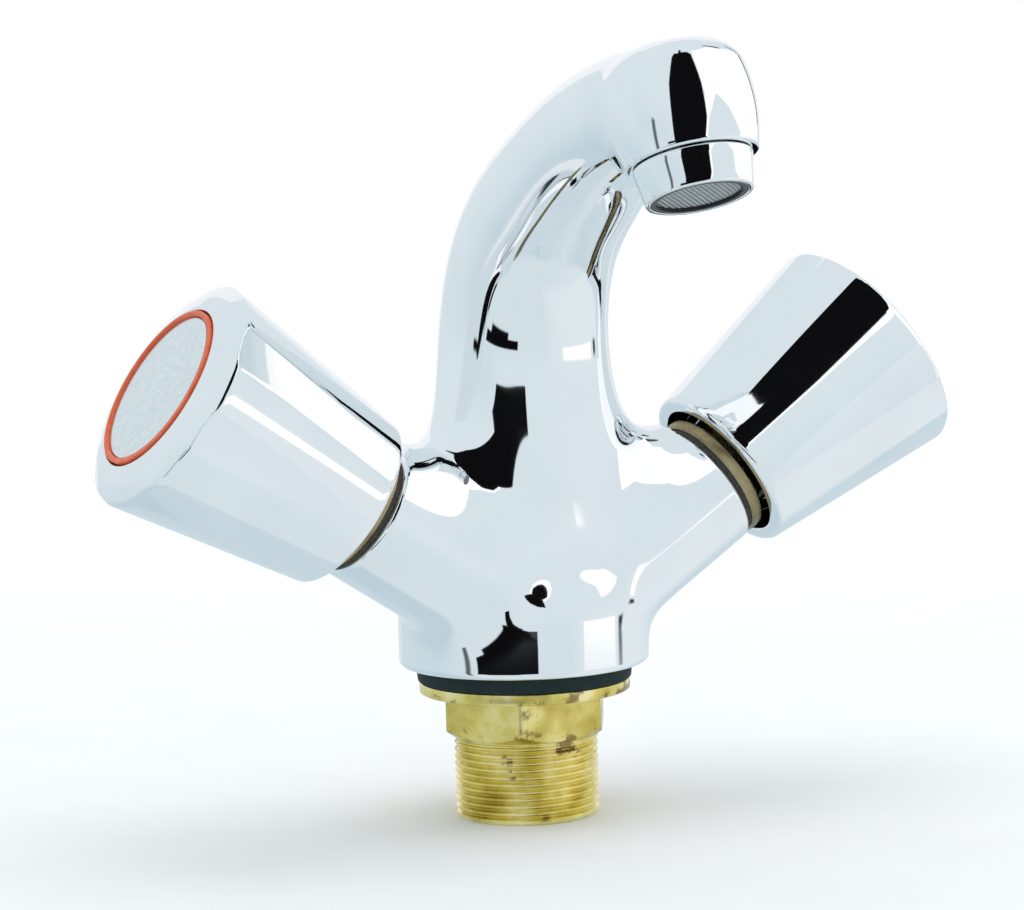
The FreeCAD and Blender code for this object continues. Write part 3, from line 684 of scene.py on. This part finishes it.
def noise(nodes, links, scale, detail=3.0, rough=0.5):
    """Noise that sits still on the object."""
    place = nodes.new("ShaderNodeTexCoord")
    grain = nodes.new("ShaderNodeTexNoise")
    grain.inputs["Scale"].default_value = scale
    grain.inputs["Detail"].default_value = detail
    grain.inputs["Roughness"].default_value = rough
    links.new(place.outputs["Object"], grain.inputs["Vector"])
    return grain.outputs["Fac"]


def ramp(nodes, links, value, stops):
    """Colour ramp from (position, colour) stops."""
    node = nodes.new("ShaderNodeValToRGB")
    while len(node.color_ramp.elements) < len(stops):
        node.color_ramp.elements.new(0.5)
    for element, (position, colour) in zip(node.color_ramp.elements, stops):
        element.position = position
        element.color = (*colour, 1)
    links.new(value, node.inputs["Fac"])
    return node.outputs["Color"]


def spread(nodes, links, value, low, high):
    """Value from 0 to 1 stretched over a new range."""
    node = nodes.new("ShaderNodeMapRange")
    node.inputs["To Min"].default_value = low
    node.inputs["To Max"].default_value = high
    links.new(value, node.inputs["Value"])
    return node.outputs["Result"]


def bump(nodes, links, shader, value, strength, distance):
    """Relief that follows a value, with its depth in metres."""
    node = nodes.new("ShaderNodeBump")
    node.inputs["Strength"].default_value = strength
    node.inputs["Distance"].default_value = distance
    links.new(value, node.inputs["Height"])
    links.new(node.outputs["Normal"], shader.inputs["Normal"])


def surfaced(name, metallic, stops, roughness, scale, strength=0.0, distance=0.0001):
    """Material whose colour, gloss and relief follow one noise."""
    material, nodes, links, shader = new_material(name)
    grain = noise(nodes, links, scale)
    shader.inputs["Metallic"].default_value = metallic
    links.new(ramp(nodes, links, grain, stops), shader.inputs["Base Color"])
    links.new(spread(nodes, links, grain, *roughness), shader.inputs["Roughness"])
    if strength:
        bump(nodes, links, shader, grain, strength, distance)
    return material


CHROME = surfaced("chrome_plate", 1.0, [(0.3, (0.86, 0.885, 0.90)), (0.7, (0.90, 0.92, 0.935))],
                  (0.02, 0.05), 60)
CAP = surfaced("brushed_cap", 1.0, [(0.3, (0.74, 0.78, 0.80)), (0.7, (0.86, 0.89, 0.90))],
               (0.16, 0.26), 900, 0.06, 0.00005)
RED = surfaced("red_index", 0.0, [(0.3, (0.66, 0.085, 0.02)), (0.7, (0.78, 0.14, 0.04))],
               (0.30, 0.42), 500, 0.05)
BLUE = surfaced("blue_index", 0.0, [(0.3, (0.03, 0.12, 0.50)), (0.7, (0.045, 0.16, 0.60))],
                (0.30, 0.42), 500, 0.05)
RUBBER = surfaced("black_rubber", 0.0, [(0.35, (0.008, 0.020, 0.021)), (0.7, (0.014, 0.030, 0.031))],
                  (0.62, 0.80), 700, 0.12, 0.00006)
RUBBER_SPECULAR = 0.22
RUBBER.node_tree.nodes["Principled BSDF"].inputs["Specular IOR Level"].default_value = RUBBER_SPECULAR
PLASTIC = surfaced("black_plastic", 0.0, [(0.35, (0.012, 0.013, 0.015)), (0.7, (0.022, 0.023, 0.025))],
                   (0.30, 0.44), 900, 0.06, 0.00003)
WHITE_PLASTIC = surfaced("white_plastic", 0.0, [(0.3, (0.74, 0.74, 0.72)), (0.7, (0.82, 0.82, 0.80))],
                         (0.35, 0.5), 700, 0.05)
FIBRE = surfaced("fibre_seal", 0.0, [(0.3, (0.025, 0.024, 0.022)), (0.7, (0.06, 0.055, 0.05))],
                 (0.7, 0.9), 1500, 0.3, 0.0001)
SCREEN = surfaced("screen_steel", 1.0, [(0.3, (0.55, 0.57, 0.57)), (0.7, (0.68, 0.70, 0.69))],
                  (0.25, 0.38), 800)
SPRING = surfaced("spring_steel", 1.0, [(0.3, (0.42, 0.43, 0.45)), (0.7, (0.55, 0.56, 0.58))],
                  (0.22, 0.36), 600, 0.05)


FILM_STOPS = (0.30, 0.48, 0.62)
STAIN_BANDS = ((HEX_LOW + 1.6, 2.4), (0.6, 1.3))
STAIN_MORE, STAIN_SOFT, STAIN_COVER = 0.075, 0.06, (0.8, 0.8, 0.8)
STAIN_COLOUR = (0.20, 0.11, 0.045, 1)


def brass_material(name, stained, tones):
    """Machined brass with a mottled film.

    Brown stains gather on the hexagon's foot and on the flange.
    """
    material, nodes, links, shader = new_material(name)
    shader.inputs["Metallic"].default_value = 1.0
    film = noise(nodes, links, 90, 5, 0.6)
    metal = ramp(nodes, links, film, list(zip(FILM_STOPS, tones)))
    spots = noise(nodes, links, 150, 4, 0.65)
    place = nodes.new("ShaderNodeTexCoord")
    split = nodes.new("ShaderNodeSeparateXYZ")
    links.new(place.outputs["Object"], split.inputs[0])
    gathered = spots
    for height, reach in STAIN_BANDS:
        ratio = nodes.new("ShaderNodeMapRange")
        ratio.inputs["From Min"].default_value = (height - reach) * MM
        ratio.inputs["From Max"].default_value = (height + reach) * MM
        ratio.inputs["To Max"].default_value = math.pi
        links.new(split.outputs["Z"], ratio.inputs["Value"])
        hump, more = nodes.new("ShaderNodeMath"), nodes.new("ShaderNodeMath")
        hump.operation = "SINE"
        links.new(ratio.outputs["Result"], hump.inputs[0])
        more.operation = "MULTIPLY_ADD"
        more.inputs[1].default_value = STAIN_MORE
        links.new(hump.outputs[0], more.inputs[0])
        links.new(gathered, more.inputs[2])
        gathered = more.outputs[0]
    mask = ramp(nodes, links, gathered,
                [(0.0, (0, 0, 0)), (stained, (0, 0, 0)), (stained + STAIN_SOFT, STAIN_COVER)])
    mix = nodes.new("ShaderNodeMix")
    mix.data_type = "RGBA"
    links.new(mask, mix.inputs[MIX_MASK])
    links.new(metal, mix.inputs[MIX_UNDER])
    mix.inputs[MIX_OVER].default_value = STAIN_COLOUR
    links.new(mix.outputs[2], shader.inputs["Base Color"])
    links.new(spread(nodes, links, film, 0.22, 0.38), shader.inputs["Roughness"])
    bump(nodes, links, shader, spots, 0.10, 0.0001)
    return material


BRASS = brass_material("bare_brass", 0.61,
                       [(0.52, 0.40, 0.08), (0.80, 0.66, 0.20), (0.95, 0.84, 0.45)])
# Darker brass, barely stained: its dark tones are painted shade for the headwork that sits inside the
# handles.
SHADED_BRASS = brass_material("shaded_brass", 0.9,
                             [(0.20, 0.155, 0.07), (0.34, 0.27, 0.14), (0.44, 0.36, 0.21)])

SLOT_MATERIALS = {
    "chrome_plate": CHROME, "bare_brass": BRASS, "black_rubber": RUBBER, "black_plastic": PLASTIC,
    "white_plastic": WHITE_PLASTIC, "fibre_seal": FIBRE, "screen_steel": SCREEN,
    "spring_steel": SPRING, "red_index": RED, "blue_index": BLUE,
}


def finish_cad_nodes():
    """Gives every CAD node its slot's procedural material.

    The bonnets, and any slot without a material of its own, get a darker, duller brass whose dark tones
    are painted shade for the headwork inside the handles.
    """
    for name, node in frame["nodes"].items():
        for place in node.material_slots:
            slot = place.material.name.split(".")[0] if place.material else ""
            # Bonnets and unknown slots take the darker brass, which is painted shade.
            shaded = name.endswith("_bonnet") or slot not in SLOT_MATERIALS
            place.material = SHADED_BRASS if shaded else SLOT_MATERIALS[slot]


# ---------------------------------------------------------------- camera, floor and light
CAMERA_TURNS = 26.91, 4.47, -1.52, -0.10, -1.60
CAMERA_DISTANCE, CAMERA_AIM = 794.81, np.array([0, 0, 71.5])
CAMERA_SENSOR, CAMERA_LENS, CAMERA_CLIP = 36.0, 134.87, (0.01, 50.0)


def look():
    """Camera where the real one stood: far off with a long lens, from the left and slightly above."""
    azimuth, elevation, roll, pan, tilt = (math.radians(a) for a in CAMERA_TURNS)
    ahead = np.array([math.cos(elevation) * math.sin(azimuth),
                      math.cos(elevation) * math.cos(azimuth), -math.sin(elevation)])
    right = np.array([math.cos(azimuth), -math.sin(azimuth), 0])
    up = np.cross(right, ahead)
    turned_ahead = unit(ahead * math.cos(pan) * math.cos(tilt)
                        + right * math.sin(pan) + up * math.sin(tilt))
    right = unit(np.cross(turned_ahead, up))
    up = np.cross(right, turned_ahead)
    level, rise = math.cos(roll), math.sin(roll)
    right, up = right * level + up * rise, up * level - right * rise
    data = bpy.data.cameras.new("camera")
    data.sensor_width, data.lens = CAMERA_SENSOR, CAMERA_LENS
    data.clip_start, data.clip_end = CAMERA_CLIP
    camera = added("camera", data)
    matrix = np.eye(4)
    matrix[:3, :3] = np.stack([right, up, -turned_ahead], 1)
    matrix[:3, 3] = (CAMERA_AIM - ahead * CAMERA_DISTANCE) * MM
    camera.matrix_world = Matrix(matrix.tolist())
    bpy.context.scene.camera = camera


FLOOR_SIZE, FLOOR_GAP = 12.0, 0.02
FLOOR_TONES = [(0.3, (0.90, 0.875, 0.86)), (0.7, (0.92, 0.895, 0.88))]
FLOOR_ROUGHNESS, FLOOR_SPECULAR = 0.8, 0.2
# The floor's painted glow: its direction towards the back, where it starts and ends, and its strength.
FADE_AWAY, FADE_START, FADE_END, FADE_GLOW = (0.45, 0.89, 0), -0.1, 1.6, 0.45


def floor():
    """Pale sheet that glows more and more towards the back, painted light that fades it into the white
    backdrop behind the object. Glossy finishes don't see it.
    """
    material, nodes, links, shader = new_material("floor_paper")
    grain = noise(nodes, links, 40)
    links.new(ramp(nodes, links, grain, FLOOR_TONES), shader.inputs["Base Color"])
    shader.inputs["Roughness"].default_value = FLOOR_ROUGHNESS
    shader.inputs["Specular IOR Level"].default_value = FLOOR_SPECULAR
    # White glow that grows towards the back is painted light; no lamp gives it.
    shader.inputs["Emission Color"].default_value = (1, 1, 1, 1)
    place = nodes.new("ShaderNodeTexCoord")
    behind = nodes.new("ShaderNodeVectorMath")
    behind.operation = "DOT_PRODUCT"
    behind.inputs[1].default_value = FADE_AWAY
    links.new(place.outputs["Object"], behind.inputs[0])
    fade = nodes.new("ShaderNodeMapRange")
    fade.interpolation_type = "SMOOTHSTEP"
    fade.inputs["From Min"].default_value = FADE_START
    fade.inputs["From Max"].default_value = FADE_END
    fade.inputs["To Max"].default_value = FADE_GLOW
    links.new(behind.outputs["Value"], fade.inputs["Value"])
    links.new(fade.outputs["Result"], shader.inputs["Emission Strength"])
    mesh = bpy.data.meshes.new("floor")
    size, level = FLOOR_SIZE, (SHANK_LOW - FLOOR_GAP) * MM
    corners = [(-size, -size, level), (size, -size, level), (size, size, level), (-size, size, level)]
    mesh.from_pydata(corners, [], [(0, 1, 2, 3)])
    mesh.materials.append(material)
    sheet = added("floor", mesh)
    sheet.visible_glossy = False


# The world, as panels in the order they are laid: azimuths in degrees (0 lies in front of the spout),
# elevations, softness of the edges, colour. The broad ones are soft, and the small ones nearly hard.
BLACK = (0.004, 0.004, 0.005)
WHITE = (1.15, 1.15, 1.15)
BACKDROP = (0.76, 0.84, 0.88)
PANELS = [
    ((-200, 200), (-95, -4), 10, (0.73, 0.82, 0.86)),
    ((25, 130), (-60, 1), 10, (0.82, 0.88, 0.91)),
    ((-200, -100), (-95, -12), 20, (0.58, 0.70, 0.76)),
    ((110, 200), (-95, -14), 20, (0.62, 0.73, 0.79)),
    ((-110, -50), (-8, 14), 12, (0.69, 0.79, 0.84)),
    ((130, 205), (-6, 45), 6, (0.95, 0.97, 1.0)),
    ((30, 66), (-9.2, -3.0), 0.8, WHITE),
    ((70.5, 75.5), (-9.5, -4), 1.5, (0.05, 0.055, 0.06)),
    ((-28, -18), (60, 80), 2.5, BLACK),
    ((-70, -14), (-14, -8.4), 0.4, BLACK),
    ((-62, -30), (-18.5, -11), 1.0, BLACK),
    ((-82, -77), (-30, 9), 1.5, (0.12, 0.13, 0.14)),
    ((88, 96), (40, 64), 2.5, (0.05, 0.052, 0.055)),
]
# Cards stand round the object at one distance. Rows run upward: elevation, left and right azimuth.
CARD_DISTANCE = 260.0
CARD_EYE = 57.0
CARD_COLUMNS = 24
CARDS = {
    "white_right": (WHITE, [(6, 50, 100), (16, 48, 100), (23, 39, 100), (29, 31, 100), (34, 20, 100)]),
    "white_top": (WHITE, [(34, 6, 100), (40, 6, 90), (52, 6, 70), (62, 10, 60)]),
    "white_left": (WHITE, [(12, -6, -4), (13, -6, -4), (16, -2, 0), (25, 3, 6), (34, 5, 20)]),
    "black_gap": (BLACK, [(6, -46, -6), (11, -46, -6), (13, -37, -6), (16, -37, -2), (25, -37, 3),
                          (40, -38, 5), (56, -32, 4), (62, -30, -8)]),
    "black_edge": (BLACK, [(14, 100.5, 104), (45, 100.5, 104)]),
}


class Shading:
    """Short names for the node chains of the world."""

    def __init__(self, tree):
        self.nodes, self.links = tree.nodes, tree.links

    def feed(self, socket, value):
        if isinstance(value, bpy.types.NodeSocket):
            self.links.new(value, socket)
        else:
            socket.default_value = value

    def maths(self, operation, first, second=0.0):
        node = self.nodes.new("ShaderNodeMath")
        node.operation = operation
        self.feed(node.inputs[0], first)
        self.feed(node.inputs[1], second)
        return node.outputs[0]

    def step(self, value, middle, soft):
        node = self.nodes.new("ShaderNodeMapRange")
        node.interpolation_type = "SMOOTHSTEP"
        node.inputs["From Min"].default_value = middle - soft
        node.inputs["From Max"].default_value = middle + soft
        self.feed(node.inputs["Value"], value)
        return node.outputs["Result"]

    def between(self, value, low, high, soft):
        above = self.step(value, low, soft)
        below = self.maths("SUBTRACT", 1.0, self.step(value, high, soft))
        return self.maths("MULTIPLY", above, below)

    def mix(self, mask, under, over):
        node = self.nodes.new("ShaderNodeMix")
        node.data_type = "RGBA"
        self.feed(node.inputs[MIX_MASK], mask)
        self.feed(node.inputs[MIX_UNDER], under)
        self.feed(node.inputs[MIX_OVER], over)
        return node.outputs[2]

    def panels(self, azimuth, height, colour):
        for (left, right), (low, high), soft, paint in PANELS:
            wide = self.between(azimuth, left, right, soft)
            tall = self.between(height, low, high, min(soft, (high - low) / 2))
            colour = self.mix(self.maths("MULTIPLY", wide, tall), colour, (*paint, 1))
        return colour


def cards():
    """Curved cards that only the glossy finishes see."""
    for name, (paint, rows) in CARDS.items():
        points, faces = [], []
        for rise, left, right in rows:
            height = CARD_EYE + CARD_DISTANCE * math.tan(math.radians(rise))
            for bearing in np.radians(np.linspace(left, right, CARD_COLUMNS + 1)):
                points.append((CARD_DISTANCE * math.sin(bearing) * MM,
                               -CARD_DISTANCE * math.cos(bearing) * MM, height * MM))
        for row in range(len(rows) - 1):
            for column in range(CARD_COLUMNS):
                first = row * (CARD_COLUMNS + 1) + column
                above = first + CARD_COLUMNS + 1
                faces.append((first, first + 1, above + 1, above))
        mesh = bpy.data.meshes.new(name)
        mesh.from_pydata(points, [], faces)
        material = bpy.data.materials.new(name)
        material.use_nodes = True
        nodes = material.node_tree.nodes
        nodes.clear()
        glow = nodes.new("ShaderNodeEmission")
        glow.inputs["Color"].default_value = (*paint, 1)
        output = nodes.new("ShaderNodeOutputMaterial")
        material.node_tree.links.new(glow.outputs[0], output.inputs["Surface"])
        mesh.materials.append(material)
        card = added(name, mesh)
        card.visible_camera = False
        card.visible_diffuse = False
        card.visible_shadow = False
        card.visible_transmission = False


def studio():
    """Pale surroundings with white and dark panels. The camera itself sees plain white."""
    world = bpy.data.worlds.new("studio")
    bpy.context.scene.world = world
    world.use_nodes = True
    nodes, links = world.node_tree.nodes, world.node_tree.links
    shading = Shading(world.node_tree)
    place = nodes.new("ShaderNodeTexCoord")
    split = nodes.new("ShaderNodeSeparateXYZ")
    links.new(place.outputs["Generated"], split.inputs[0])
    x, y, z = split.outputs
    bearing = shading.maths("ARCTAN2", x, shading.maths("MULTIPLY", y, -1.0))
    azimuth = shading.maths("DEGREES", bearing)
    height = shading.maths("DEGREES", shading.maths("ARCSINE", z))
    colour = shading.panels(azimuth, height, (*BACKDROP, 1))
    rays = nodes.new("ShaderNodeLightPath")
    colour = shading.mix(rays.outputs["Is Camera Ray"], colour, (1, 1, 1, 1))
    links.new(colour, nodes["Background"].inputs["Color"])


LAMP_SIZE, LAMP_POWER, LAMP_PLACE = 1.6, 9.0, (0.15, -0.2, 1.5)


def lamp():
    """Large soft lamp overhead that lights the floor and the plain finishes.

    Glossy finishes don't see it.
    """
    data = bpy.data.lights.new("overhead", "AREA")
    data.shape = "DISK"
    data.size = LAMP_SIZE
    data.energy = LAMP_POWER
    disk = added("overhead", data)
    disk.location = LAMP_PLACE
    disk.visible_glossy = False


# ---------------------------------------------------------------- build
AROUND_SHANK, AROUND_GASKET, AROUND_HOUSING = 192, 160, 192
AROUND_HANDLE, AROUND_INDEX = 620, 180


def build_fixed():
    """The pieces that stay on the deck."""
    make_piece("casting", *casting(CASTING_CELL), CHROME, "mixer", "chrome_plate", "body_casting")
    parts = turned(shank_outline(), AROUND_SHANK, shank_shape, True)
    make_piece("shank_turned", *parts, BRASS, "mixer", "bare_brass", "shank")
    parts = turned(gasket_outline(), AROUND_GASKET, None, True)
    make_piece("gasket_ring", *parts, RUBBER, "mixer", "black_rubber", "base_gasket")
    parts = placed(turned(housing_outline(), AROUND_HOUSING, None, True), NOZZLE_PLACE)
    make_piece("aerator_ring", *parts, CHROME, "mixer", "chrome_plate", "aerator_housing")
    parts = placed(woven_screen(SCREEN_R, SCREEN_PITCH, SCREEN_WIRE, SCREEN_HEIGHT), NOZZLE_PLACE)
    make_piece("aerator_mesh", *parts, SCREEN, "mixer", "screen_steel", "aerator_screen")


def build_handle(side, colour, slot):
    """One handle's shell, its coloured ring and its cap."""
    place, body = arm_place(side), side + "_handle_turning"
    parts = placed(turned(handle_outline(), AROUND_HANDLE, flutes(side)), place)
    make_piece(side + "_handle_shell", *parts, CHROME, body, "chrome_plate", side + "_handle")
    parts = placed(turned(ring_outline(), AROUND_INDEX, None, True), place)
    make_piece(side + "_index_band", *parts, colour, body, slot, side + "_index_ring")
    parts = placed(turned(cap_outline(), AROUND_INDEX), place)
    make_piece(side + "_index_disc", *parts, CAP, body, "chrome_plate", side + "_index_cap")


look()
floor()
studio()
cards()
lamp()
finish_cad_nodes()
build_fixed()
build_handle("hot", RED, "red_index")
build_handle("cold", BLUE, "blue_index")
bpy.context.scene.view_settings.view_transform = "Standard"
